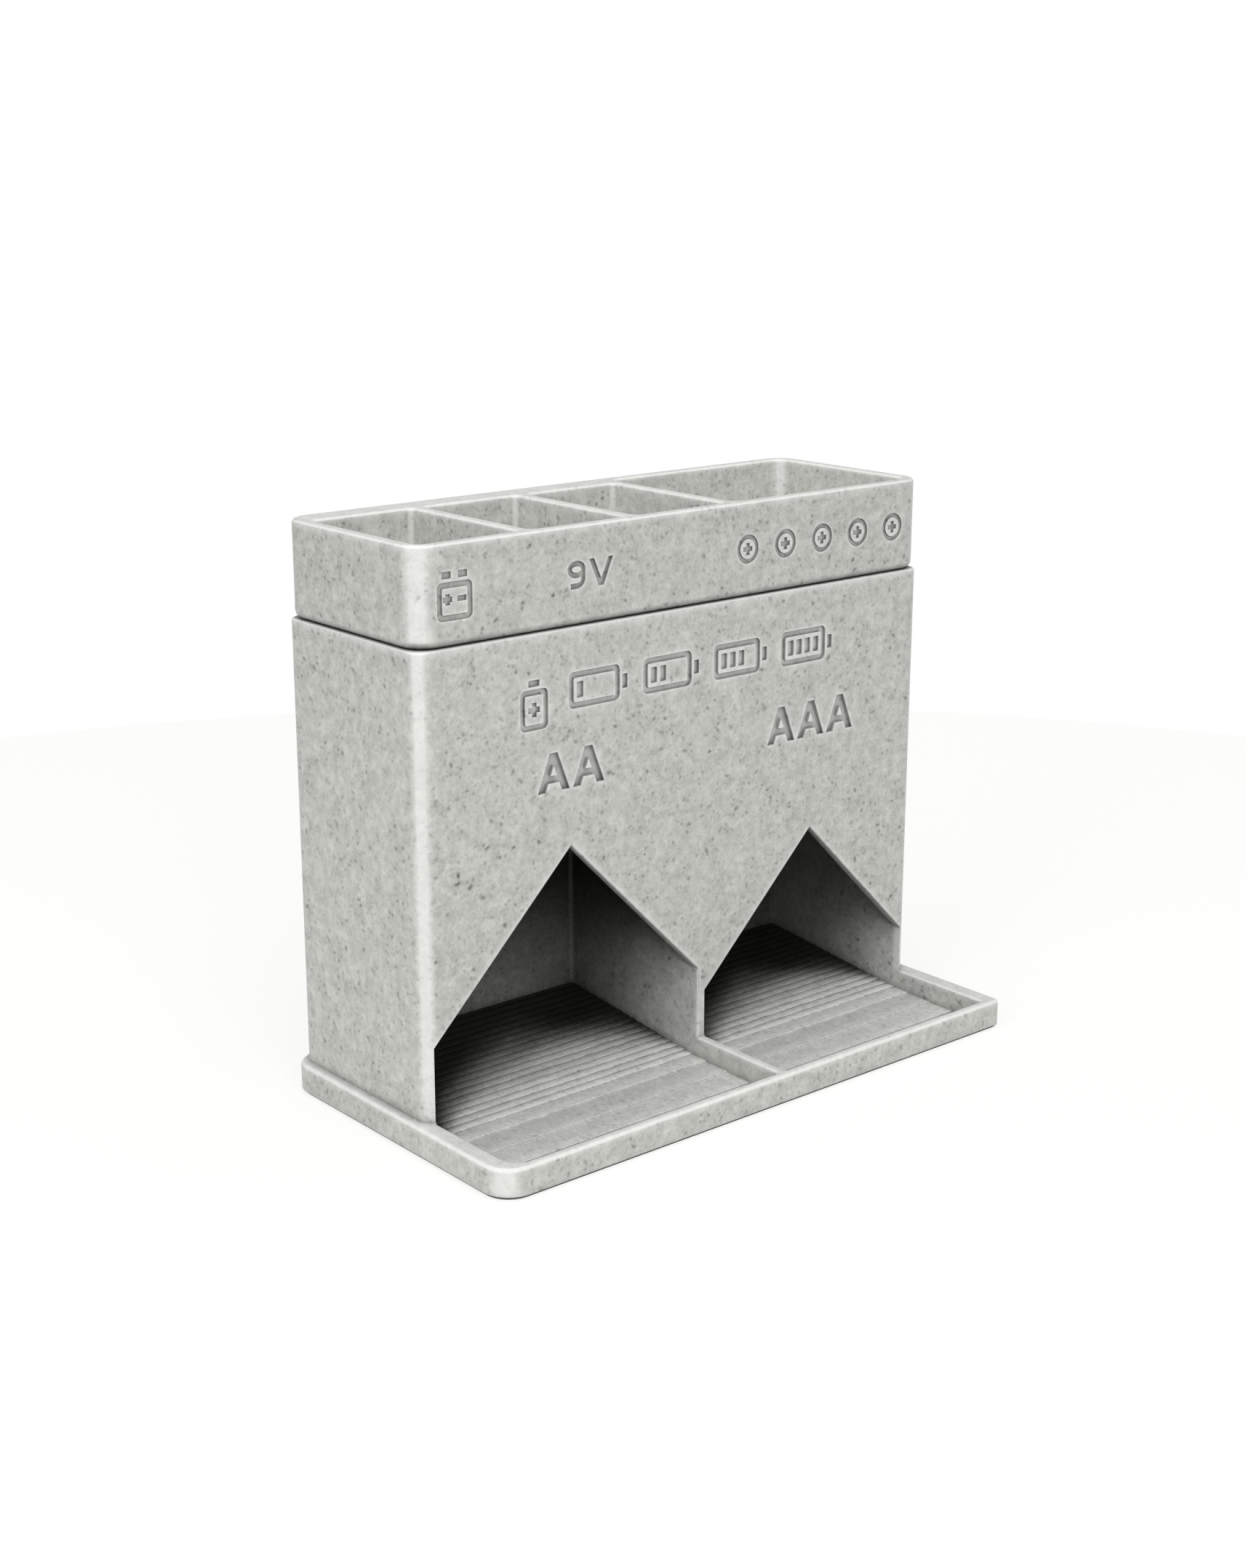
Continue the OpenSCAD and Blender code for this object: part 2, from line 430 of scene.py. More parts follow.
def placed(marks, x, z, pitch=0.0, index=0):
    """Marks moved to their place on the front, or to the place with that index in a row."""
    x += pitch * index
    return [
        ([(x + a, z + b) for a, b in outer], [[(x + a, z + b) for a, b in hole] for hole in holes])
        for outer, holes in marks
    ]


def engrave(piece, marks, depth):
    """Cuts marks into the front face."""
    mesh = bmesh.new()
    for outer, holes in marks:
        loops = [outer] + holes
        flat = [Vector((x, z, 0)) for loop in loops for x, z in loop]
        faces = tessellate_polygon([[Vector((x, z, 0)) for x, z in loop] for loop in loops])
        near = [mesh.verts.new(Vector((p.x, FRONT_Y - PAST, p.y)) * MM) for p in flat]
        far = [mesh.verts.new(Vector((p.x, FRONT_Y + depth, p.y)) * MM) for p in flat]
        for face in faces:
            mesh.faces.new([near[i] for i in face])
            mesh.faces.new([far[i] for i in reversed(face)])
        start = 0
        for loop in loops:
            count = len(loop)
            for i in range(count):
                a, b = start + i, start + (i + 1) % count
                mesh.faces.new((near[a], near[b], far[b], far[a]))
            start += count
    combine(piece, new_piece("marks", mesh))


# Shader helpers


def maths(tree, operation, *values):
    """Result of a Math node on numbers and sockets."""
    return output(tree, "ShaderNodeMath", dict(enumerate(values)), operation=operation)


def product(tree, first, *others):
    """Product of numbers and sockets."""
    for other in others:
        first = maths(tree, "MULTIPLY", first, other)
    return first


def larger(tree, first, second):
    """The larger one of two values."""
    return maths(tree, "MAXIMUM", first, second)


def vectors(tree, operation, first, second=None, scale=None):
    """Result of a Vector Math node on fixed values and sockets."""
    inputs = {0: first, 1: second, 3: scale}
    made = add_node(tree, "ShaderNodeVectorMath", inputs, operation=operation)
    return made.outputs["Value" if operation == "LENGTH" else "Vector"]


def scaled(tree, vector, factor):
    """Vector or colour times a number."""
    return vectors(tree, "SCALE", vector, scale=factor)


def part_of(tree, vector, axis):
    """One part of a vector."""
    return add_node(tree, "ShaderNodeSeparateXYZ", {"Vector": vector}).outputs[axis]


def joined(tree, x, y, z):
    """Vector from its three parts, as a socket."""
    return output(tree, "ShaderNodeCombineXYZ", {"X": x, "Y": y, "Z": z})


def drawn_out(tree, place, scale):
    """Place with its own scale along each axis, so that a pattern on it gets longer or shorter."""
    return output(tree, "ShaderNodeMapping", {"Vector": place, "Scale": scale})


def ranged(tree, value, start, end, low=0.0, high=1.0, smooth=False):
    """A value brought from one range to another and kept within it."""
    inputs = {"Value": value, "From Min": start, "From Max": end, "To Min": low, "To Max": high}
    kind = "SMOOTHSTEP" if smooth else "LINEAR"
    return output(tree, "ShaderNodeMapRange", inputs, interpolation_type=kind)


def mixed(tree, share, first, second):
    """Mix of a socket or colour with a second one."""
    inputs = {0: share, 6: first, 7: second}
    return add_node(tree, "ShaderNodeMix", inputs, data_type="RGBA").outputs[2]


def highest(tree, vector):
    """Largest part of a vector."""
    parts = [part_of(tree, vector, axis) for axis in "XYZ"]
    return larger(tree, larger(tree, parts[0], parts[1]), parts[2])


def noise(tree, place, size, detail=3.0):
    """Soft noise with blotches of a size in millimetres."""
    inputs = {"Vector": place, "Scale": 1 / (size * MM), "Detail": detail, "Roughness": 0.6}
    return add_node(tree, "ShaderNodeTexNoise", inputs).outputs


def spread(tree, cloud, low, high):
    """Noise, most of which lies between 0.3 and 0.7, brought to a range of tones."""
    return ranged(tree, cloud, 0.3, 0.7, low, high)


def openness(tree, reach, samples, inside=False, axis=None):
    """How open the surroundings are within a reach in millimetres: 1 for fully open."""
    inputs = {"Distance": reach * MM, "Normal": axis}
    settings = {"samples": samples, "inside": inside, "only_local": inside}
    return add_node(tree, "ShaderNodeAmbientOcclusion", inputs, **settings).outputs["AO"]


# Materials

# Specks in three sizes: part of the spacing and length, part of the width, and part of the depth.
# Then the turn of their grid in radians, and the reach and the size of the bends in them.
SPECK_SIZES = ((1.0, 1.0, 1.0), (0.56, 0.95, 0.8), (0.31, 0.65, 0.4))
SPECK_GRID_TURN = (0.6, 0.4, 0.9)
SPECK_BEND = 0.45
SPECK_BEND_SIZE = 0.9

# Rays that tell how open a place is close by
CLOSE_SAMPLES = 8

# Size and strength of the finest grain, and size of the blotches between it and the cloudiness
BLOTCH_SIZE = 1.5
GRAIN_SIZE = 0.45
GRAIN_DEPTH = 0.06

# Depth behind the outer faces where the inside's painted shade and the pockets' painted light start and
# are complete
INSIDE_DEPTH = (0.95, 1.5)
POCKET_DEPTH = (0.9, 1.5)

# Where the light of the bays comes from, for their painted shade: the left, the front and above
BAY_LIGHT = (-0.55, -0.6, 0.58)

# Openness upwards at which painted light from above starts to count and counts fully
ABOVE_RANGE = (0.1, 0.4)

# Openness close by at which the painted shade of creases and narrow gaps is darkest and at which it
# ends, and at which the painted highlight of an edge in a crease starts and is strongest
CREASE_RANGE = (0.45, 0.93)
GAP_RANGE = (0.06, 0.34)
OPEN_EDGE_RANGE = (0.5, 0.75)

# Openness inside the plastic where the painted highlight of the band beside an edge starts and is
# strongest
BAND_RANGE = (0.95, 0.5)

# Largest part of a surface's direction where the painted highlight of a rounded edge starts and is
# strongest
SLANT_RANGE = (0.998, 0.86)

# Upward part of a surface's direction: for the painted highlight of upright corners against slanting
# edges, for edges that face down and get no painted highlight, for the painted highlight of level tops,
# and for the painted shade of undersides
CORNER_RANGE = (0.05, 0.4)
PALE_UNDER_RANGE = (-0.35, -0.05)
TOP_RANGE = (0.8, 0.95)
UNDER_RANGE = (-0.8, -0.05)

# How far off the letters' depth a floor may lie to get their painted shade
ENGRAVED_PLAY = 0.08

# Size of the bends in the steps' painted highlight and shade, and how far they reach to and fro
STEP_BEND_SIZE = 3.8
STEP_BEND = 0.175

# Scale across that draws the layer lines out to level lines, and their distance
LINE_DRAWN_OUT = 0.023
LINE_DISTANCE = 0.38


def clouded(tree, place, result, look):
    """Wide soft patches, smaller blotches and a fine grain. Gives the colour, patches and grain."""
    sizes = (look.cloud_size, BLOTCH_SIZE, GRAIN_SIZE)
    depths = (look.cloud_depth, look.blotch_depth, GRAIN_DEPTH)
    clouds = []
    for size, depth in zip(sizes, depths):
        clouds.append(noise(tree, place, size)["Fac"])
        tone = spread(tree, clouds[-1], 1 - 1.3 * depth, 1 + 0.7 * depth)
        result = scaled(tree, result, tone)
    return result, clouds[0], clouds[-1]


def specked(tree, place, patches, result, look):
    """Specks: one in each cell of a scattered grid, turned at random, drawn out lengthwise and bent.

    The grid lies askew, so that all flat faces cut it alike, and the darker patches hold more.
    """
    wander = scaled(tree, noise(tree, place, SPECK_BEND_SIZE, 1.0)["Color"], SPECK_BEND * MM)
    askew = {"Vector": vectors(tree, "ADD", place, wander), "Rotation": SPECK_GRID_TURN}
    scatter = output(tree, "ShaderNodeMapping", askew)
    gathered = ranged(tree, patches, 0.62, 0.38, 0.5, 1.5)
    for part, narrow, fade in SPECK_SIZES:
        grid = {"Vector": scatter, "Scale": 1 / (look.speck_spacing * part * MM)}
        cells = add_node(tree, "ShaderNodeTexVoronoi", grid).outputs
        offset = vectors(tree, "SUBTRACT", scatter, cells["Position"])
        lying = {"Vector": offset, "Rotation": scaled(tree, cells["Color"], math.tau)}
        turned = output(tree, "ShaderNodeVectorRotate", lying, rotation_type="EULER_XYZ")
        width = 2 / (look.speck_width * narrow * MM)
        size = (2 / (look.speck_length * (part + 0.04) * MM), width, width)
        reach = vectors(tree, "LENGTH", vectors(tree, "MULTIPLY", turned, size))
        core = ranged(tree, reach, 1.3, 0.2)
        chance = add_node(tree, "ShaderNodeSeparateColor", {"Color": cells["Color"]})
        least, depth = 1 - look.speck_share, look.speck_depth * fade
        drawn = ranged(tree, chance.outputs["Green"], least, 1.0, 0.0, depth)
        result = mixed(tree, product(tree, core, drawn, gathered), result, look.speck_colour)
    return result


def light_reaching(tree, place, away, half, look, samples, on_ramp, loose):
    """How much light reaches a place, from 0 to 1, which sets the painted shade in the colour.

    All of it does outside the housing, and next to none deep in the bays, where little of the front
    left can be seen. With the tray off, painted light falls in from above, and the thin right wall gets
    a painted glow for the light it lets through.
    """
    beyond = highest(tree, vectors(tree, "SUBTRACT", away, half))
    start, whole = INSIDE_DEPTH
    outside = ranged(tree, beyond, (-whole - loose) * MM, (-start - loose) * MM)
    sky = openness(tree, look.recess_reach, samples, axis=joined(tree, *BAY_LIGHT))
    low, high = (look.ramp_dark, look.ramp_light) if on_ramp else (look.wall_dark, look.wall_light)
    lit = larger(tree, outside, ranged(tree, sky, low, high, smooth=True))
    if on_ramp:
        return lit
    above = openness(tree, look.recess_reach, samples, axis=joined(tree, 0.0, 0.0, 1.0))
    lit = larger(tree, lit, ranged(tree, above, *ABOVE_RANGE, smooth=True))
    # Painted glow on the thin right wall, for the light that it lets through
    thin = maths(tree, "GREATER_THAN", part_of(tree, place, "X"), (AAA_LANE[1] - 0.1) * MM)
    return larger(tree, lit, product(tree, thin, look.painted_glow))


def painted_highlights(tree, normal, lit, tight, look):
    """How strongly painted highlights lighten the edges, corners and rims' tops, from 0 to 1.

    The painted highlights lie on rounded edges, found by their slant, and on the band beside a sharp
    one, found by how soon a ray inside the plastic comes out again. Tight is the openness close by, and
    is None on the ramps.
    """
    slant = vectors(tree, "ABSOLUTE", normal)
    upright = ranged(tree, part_of(tree, slant, "Z"), *CORNER_RANGE, look.corner_highlight, 1.0)
    bend = product(tree, ranged(tree, highest(tree, slant), *SLANT_RANGE), upright)
    within = openness(tree, look.highlight_band, CLOSE_SAMPLES, inside=True)
    band = ranged(tree, within, *BAND_RANGE, 0.0, look.band_highlight)
    facing = part_of(tree, normal, "Z")
    edge = product(tree, larger(tree, bend, band), lit, ranged(tree, facing, *PALE_UNDER_RANGE))
    if tight is None:
        return product(tree, edge, look.ramp_highlight)
    top = product(tree, ranged(tree, facing, *TOP_RANGE, 0.0, look.top_highlight), lit)
    return larger(tree, product(tree, edge, ranged(tree, tight, *OPEN_EDGE_RANGE)), top)


def painted_shade(tree, result, away, half, normal, tight, look):
    """Painted shade: creases, narrow gaps, what faces down and the floors of engraved letters get
    darker.
    """
    result = scaled(tree, result, ranged(tree, tight, *CREASE_RANGE, look.crease))
    result = scaled(tree, result, ranged(tree, tight, *GAP_RANGE, look.gap))
    facing = part_of(tree, normal, "Z")
    result = scaled(tree, result, ranged(tree, facing, *UNDER_RANGE, look.under))
    floor = half[1] - bpy.context.scene.dispenser_marks.depth * MM
    cut = maths(tree, "COMPARE", part_of(tree, away, "Y"), floor, ENGRAVED_PLAY * MM)
    cut = product(tree, cut, ranged(tree, part_of(tree, normal, "Y"), -0.95, -0.99))
    return scaled(tree, result, ranged(tree, cut, 0.0, 1.0, 1.0, look.engraved))


def stepped(tree, result, place, steps):
    """Printed steps: a painted highlight on each nose and painted shade in each crease, and short
    streaks from front to back.

    Each flight of steps has its front, its tread, its back, and the tones from nose to crease.
    """
    bends = noise(tree, place, STEP_BEND_SIZE, 2.0)["Fac"]
    sway = maths(tree, "MULTIPLY_ADD", bends, 2 * STEP_BEND * MM, -STEP_BEND * MM)
    where = maths(tree, "ADD", part_of(tree, place, "Y"), sway)
    for first, tread, last, profile in steps:
        count = maths(tree, "MULTIPLY_ADD", where, 1 / tread, -first / tread)
        ramp = add_node(tree, "ShaderNodeValToRGB", {"Fac": maths(tree, "FRACT", count)})
        ramp.color_ramp.interpolation = "EASE"
        while len(ramp.color_ramp.elements) < len(profile):
            ramp.color_ramp.elements.new(0.5)
        for stop, (spot, tone) in zip(ramp.color_ramp.elements, profile):
            stop.position = spot
            stop.color = (tone, tone, tone, 1.0)
        step = {"W": maths(tree, "FLOOR", count)}
        chance = output(tree, "ShaderNodeTexWhiteNoise", step, noise_dimensions="1D")
        tone = product(tree, ramp.outputs["Color"], ranged(tree, chance, 0.0, 1.0, 0.91, 1.09))
        behind = maths(tree, "GREATER_THAN", where, first)
        here = product(tree, behind, maths(tree, "LESS_THAN", where, last))
        used = output(tree, "ShaderNodeMix", {0: here, 2: 1.0, 3: tone}, data_type="FLOAT")
        result = scaled(tree, result, used)
    streak = noise(tree, drawn_out(tree, place, (2.6, 0.7, 0.7)), 1.0, 2.0)["Fac"]
    return scaled(tree, result, spread(tree, streak, 0.88, 1.1))


def marble_print(name, colour, look, samples, steps=(), inner=1.0, loose=0.0):
    """Marble-effect PLA, printed in layers and left as printed.

    It is a light warm grey with a soft, uneven satin sheen. Short dark specks lie all through
    it, each turned its own way, over a faint cloudiness, and the layers leave fine level lines.
    Its colour also holds painted highlights on edges and painted shade in creases and in the bays.
    Inner is how much paler the walls of its wells are painted, standing in for the light that goes to
    and fro between them.
    Loose is how much deeper than the housing's walls a place has to lie to count as inside and get the
    bays' painted shade.
    """
    material = bpy.data.materials.new(name)
    tree = empty_tree(material)
    coordinates = add_node(tree, "ShaderNodeTexCoord").outputs
    place, normal = coordinates["Object"], coordinates["Normal"]
    result, patches, grain = clouded(tree, place, tuple(colour[:3]), look)
    result = specked(tree, place, patches, result, look)

    # Distance from the housing's middle, beside half of the housing's size
    centre = (0.0, (FRONT_Y + BACK_Y) / 2 * MM, HOUSING_TOP / 2 * MM)
    half = (HOUSING_X * MM, (BACK_Y - FRONT_Y) / 2 * MM, HOUSING_TOP / 2 * MM)
    away = vectors(tree, "ABSOLUTE", vectors(tree, "SUBTRACT", place, centre))
    lit = light_reaching(tree, place, away, half, look, samples, bool(steps), loose)
    tight = None
    if not steps:
        tight = openness(tree, look.crease_reach, CLOSE_SAMPLES)
        # Painted light on the walls of wells, at any height
        sides = highest(tree, vectors(tree, "SUBTRACT", away, half[:2] + (1.0,)))
        start, whole = POCKET_DEPTH
        result = scaled(tree, result, ranged(tree, sides, -start * MM, -whole * MM, 1.0, inner))
    # Painted highlights: edges, upright corners and level tops are lightened towards a pale colour
    edge = product(tree, painted_highlights(tree, normal, lit, tight, look), look.highlight_strength)
    result = mixed(tree, edge, result, look.highlight_colour)

    # Painted shade: the bays get dark and warmer where little light reaches them
    result = scaled(tree, result, ranged(tree, lit, 0.0, 1.0, look.recess_shade))
    warm_shade = mixed(tree, ranged(tree, lit, 0.0, 0.35), look.recess_colour, (1, 1, 1, 1))
    result = vectors(tree, "MULTIPLY", result, warm_shade)
    if steps:
        result = stepped(tree, result, place, steps)
    else:
        result = painted_shade(tree, result, away, half, normal, tight, look)

    # Layer lines. The real ones are 0.2 mm apart, too fine for the render, so these are uneven
    # and drawn nearly twice as coarse.
    level = drawn_out(tree, place, (LINE_DRAWN_OUT, LINE_DRAWN_OUT, 1.0))
    lines = noise(tree, level, LINE_DISTANCE, 1.0)["Fac"]
    raised = {"Strength": 1.0, "Distance": look.layer_relief * MM, "Height": lines}

    # Light goes a little way into the plastic, red farthest
    plastic = {
        "Base Color": result,
        "Roughness": spread(tree, grain, 0.46, 0.56),
        "Normal": output(tree, "ShaderNodeBump", raised),
        "IOR": 1.46,
        "Subsurface Weight": 0.12,
        "Subsurface Scale": 0.9 * MM,
        "Subsurface Radius": (1.0, 0.95, 0.85),
    }
    shader = output(tree, "ShaderNodeBsdfPrincipled", plastic)
    add_node(tree, "ShaderNodeOutputMaterial", {"Surface": shader})
    return material


def mixed_shaders(tree, share, first, second):
    """Mix of two shaders or backgrounds by a share, given as a socket."""
    return output(tree, "ShaderNodeMixShader", {0: share, 1: first, 2: second})


def plain_sheet(name, colour, clear):
    """Matt white table top without sheen. Clear is how much of its shadows the camera doesn't see."""
    material = bpy.data.materials.new(name)
    tree = empty_tree(material)
    path = add_node(tree, "ShaderNodeLightPath").outputs
    share = product(tree, path["Is Camera Ray"], clear)
    matt = output(tree, "ShaderNodeBsdfDiffuse", {"Color": colour, "Roughness": 0.5})
    white = output(tree, "ShaderNodeEmission", {"Color": (1, 1, 0.99, 1), "Strength": 1.0})
    surface = mixed_shaders(tree, share, matt, white)
    add_node(tree, "ShaderNodeOutputMaterial", {"Surface": surface})
    return material


# Settings that a user would change


def number(name, description, default, low=0.0, high=1.0):
    """Setting for a number with its limits."""
    limits = {"min": low, "max": high}
    return bpy.props.FloatProperty(name=name, description=description, default=default, **limits)


def tint(name, description, code):
    """Setting for a colour, with its default in hex."""
    return bpy.props.FloatVectorProperty(
        name=name, description=description, subtype="COLOR", size=4, default=linear(code)
    )


class DispenserEdges(bpy.types.PropertyGroup):
    """Roundings of the two printed pieces, in millimetres."""

    rim: number("Rim edge", "Rounding of the rim's outer edge", 0.8, 0.2, 1.2)
    well: number("Well edge", "Rounding of the wells' upper edges", 0.55, 0.1, 0.7)
    outlet: number("Outlet edge", "Rounding around the outlets", 0.3, 0.1, 0.4)
    bay: number("Bay edge", "Rounding of the bays' upper edges", 0.3, 0.1, 0.4)
    housing: number("Housing edge", "Rounding of the housing's upper edge", 0.5, 0.1, 0.6)
    tray: number("Tray edge", "Rounding of the tray's upper edges", 0.6, 0.2, 0.7)
    tray_foot: number("Tray foot", "Rounding around the tray's underside", 1.4, 0.4, 1.5)
    foot: number("Foot chamfer", "Chamfer around the underside", 0.6, 0.2, 0.8)


class DispenserRamp(bpy.types.PropertyGroup):
    """Printed layers that make up the two ramps, in millimetres."""

    layer: number("Layer", "Height of one printed layer", 0.2, 0.1, 0.3)
    apron_tread: number("Apron tread", "Depth of one step on the apron", 5.206, 2, 8)
    ramp_tread: number("Ramp tread", "Depth of one step in a bay", 1.769, 1, 3)
    wobble: number("Wobble", "Unevenness of a layer's front edge", 0.05, 0, 0.2)
    seed: bpy.props.IntProperty(name="Seed", description="Picks one pattern of unevenness", default=7)


class DispenserMarks(bpy.types.PropertyGroup):
    """Engraved marks, in millimetres."""

    depth: number("Depth", "Depth of the large letters", 0.6, 0.2)
    fine_depth: number("Fine depth", "Depth of the body's pictograms and the small marks", 0.48, 0.2)
    tray_depth: number("Tray depth", "Depth of the pictograms on the tray", 0.36, 0.2)
    stroke: number("Stroke", "Width of the lines of a large letter", 1.5, 0.6, 1.8)


class DispenserPlastic(bpy.types.PropertyGroup):
    """Colours of the printed plastic, its specks in millimetres, and the painted highlights and painted
    shade laid into its colour.
    """

    body_colour: tint("Body", "Colour of the body", "#c9cac5")
    tray_colour: tint("Tray", "Colour of the tray", "#c7c8c3")
    speck_colour: tint("Specks", "Colour of the specks", "#3c3d3c")
    speck_spacing: number("Speck spacing", "Mean distance of the larger specks", 1.8, 0.5, 4)
    speck_length: number("Speck length", "Length of the larger specks", 1.3, 0.2, 2)
    speck_width: number("Speck width", "Width of the larger specks", 0.65, 0.1, 1)
    speck_share: number("Speck share", "Part of the grid's cells that hold a speck", 0.8)
    speck_depth: number("Speck depth", "How dark the darkest specks are", 0.6)
    cloud_size: number("Cloud size", "Size of the faint cloudiness", 4.0, 1, 20)
    cloud_depth: number("Cloud depth", "Strength of the faint cloudiness", 0.08, 0, 0.2)
    blotch_depth: number("Blotch depth", "Strength of the smaller blotches", 0.14, 0, 0.3)
    # Painted highlights on edges, upright corners, level tops, the ramps and the band beside an edge
    highlight_colour: tint("Edges", "Colour that edges fade to", "#f6f6f4")
    highlight_strength: number("Edge fade", "How far edges fade to their colour", 0.66)
    corner_highlight: number("Corner share", "Part of that fade on upright corners", 0.75)
    top_highlight: number("Top share", "Part of that fade on level top faces", 0.6)
    ramp_highlight: number("Ramp share", "Part of that fade on the ramps", 0.6)
    band_highlight: number("Band share", "Part of that fade in the band beside an edge", 0.8)
    highlight_band: number("Edge band", "Width of the pale band beside an edge", 1.5, 0, 5)
    # Painted shade in creases, narrow gaps, on what faces down and on the floors of letters
    crease: number("Crease tone", "Brightness left in a crease", 0.58)
    gap: number("Gap tone", "Part of that left in a narrow gap", 0.1)
    crease_reach: number("Crease reach", "Distance within which a crease counts", 1.8, 0.5, 10)
    under: number("Under tone", "Brightness left on what faces down", 0.55)
    engraved: number("Engraved tone", "Brightness left on the floors of letters", 0.74)
    # Painted shade deep in the bays, its warm tint and reach, and a painted glow on the thin right wall
    recess_shade: number("Recess tone", "Brightness left deep inside a bay", 0.02)
    recess_colour: tint("Recess", "Tint of the dark bays", "#fffdd4")
    recess_reach: number("Recess reach", "Distance that tells deep from open places", 120, 10, 500)
    painted_glow: number("Glow", "Brightness left on the thin right wall", 0.27)
    # Painted light on the pockets' walls
    inner: number("Pocket tone", "Brightness of the pockets' walls", 1.1, 0.5, 1.5)
    # Openness at which the painted shade of the bays' walls and ramps is darkest and at which it ends
    wall_dark: number("Wall dark", "Openness below which a bay wall is dark", 0.11)
    wall_light: number("Wall light", "Openness above which a bay wall is fully lit", 0.295)
    ramp_dark: number("Ramp dark", "Openness below which a ramp is dark", 0.305)
    ramp_light: number("Ramp light", "Openness above which a ramp is fully lit", 0.4)
    layer_relief: number("Layer relief", "Height of the layer lines", 0.012, 0, 0.1)


class DispenserStage(bpy.types.PropertyGroup):
    """Lamps, table top and surroundings."""

    top_light: number("Top light", "Power of the large lamp overhead", 5.5, 0, 100)
    front_light: number("Front light", "Power of the lamp at the front", 2.7, 0, 100)
    side_light: number("Side light", "Power of the lamp at the left", 2.1, 0, 100)
    fill: number("Fill", "Strength of the light from all round", 0.36, 0, 10)
    table: tint("Table", "Colour of the table top", "#f8f8f6")
    clear: number("Clear", "How much lighter the camera sees the table's shadows", 0.8)


# Pieces


class DISPENSER_OT_body(bpy.types.Operator):
    """Make the housing with its outlets, divider, rimmed apron and engraved marks"""

    bl_idname = "dispenser.body"
    bl_label = "Body"

    def execute(self, context):
        edges = context.scene.dispenser_edges
        foot = [(edges.foot, 0), (0, edges.foot)]
        top = [(inset, RIM_TOP - drop) for inset, drop in quarter(edges.rim)]
        corners = [BASE_CORNER, BASE_SHARP_CORNER, BASE_CORNER, BASE_CORNER]
        body = block("base", (-BASE_X, -BASE_Y, BASE_X, BASE_Y), corners, foot, top)
        sides = (-HOUSING_X, FRONT_Y, HOUSING_X, BACK_Y)
        top = [(inset, HOUSING_TOP - drop) for inset, drop in quarter(edges.housing, 5)]
        housing = block("housing", sides, [HOUSING_CORNER] * 4, [(0, HOUSING_LOW)], top)
        combine(body, housing, "UNION")

        inner = HOUSING_CORNER - WALL
        for lane, near in ((AA_LANE, BASE_CORNER - FRONT_RIM), (AAA_LANE, WELL_SHARP_CORNER)):
            left, right, spring = lane
            sides = (left, BAY_FRONT, right, BAY_BACK)
            combine(body, well("bay", sides, [inner] * 4, FLOOR_TOP, HOUSING_TOP, edges.bay))
            passage = [(FRONT_Y - PAST, 0), (OUTLET_BACK, 0)]
            combine(body, gable("passage", lane, FLOOR_TOP, passage))
            sides = (left, APRON_FRONT, right, FRONT_Y)
            corners = [near, WELL_SHARP_CORNER, 0, 0]
            combine(body, well("apron", sides, corners, FLOOR_TOP, RIM_TOP, edges.well, open_back=True))
            curve = [(FRONT_Y + drop, inset) for drop, inset in quarter(edges.outlet, 5)]
            mouth = [(FRONT_Y - PAST, edges.outlet)] + curve + [(FRONT_Y + PAST, 0)]
            combine(body, gable("mouth", lane, RIM_TOP, mouth))
        cut = rectangle(AA_LANE[1] - inner, BAY_FRONT, AAA_LANE[0] + inner, BAY_BACK, [0] * 4, 1)
        rings = [[(x, y, z) for x, y in cut] for z in (DIVIDER_TOP, HOUSING_TOP + PAST)]
        combine(body, loft("cut", rings))

        marks = context.scene.dispenser_marks
        pictures = placed(standing_cell(5.2, 7.6, 0.9), *STANDING_CELL_AT)
        for k in range(4):
            pictures += placed(lying_cell(11.4, 5.6, 0.95, k + 1), *LYING_CELLS_AT, k)
        engrave(body, pictures, marks.fine_depth)
        letter = letter_a(6.1, 6.0, marks.stroke)
        letters = []
        for count, place in ((2, AA_LETTERS_AT), (3, AAA_LETTERS_AT)):
            for k in range(count):
                letters += placed(letter, *place, k)
        engrave(body, letters, marks.depth)
        plastic = context.scene.dispenser_plastic
        material = marble_print("Marble PLA body", plastic.body_colour, plastic, samples=16)
        dress(body, "body_shell", material)
        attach(body, "dispenser")
        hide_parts("dispenser_body")
        return {"FINISHED"}


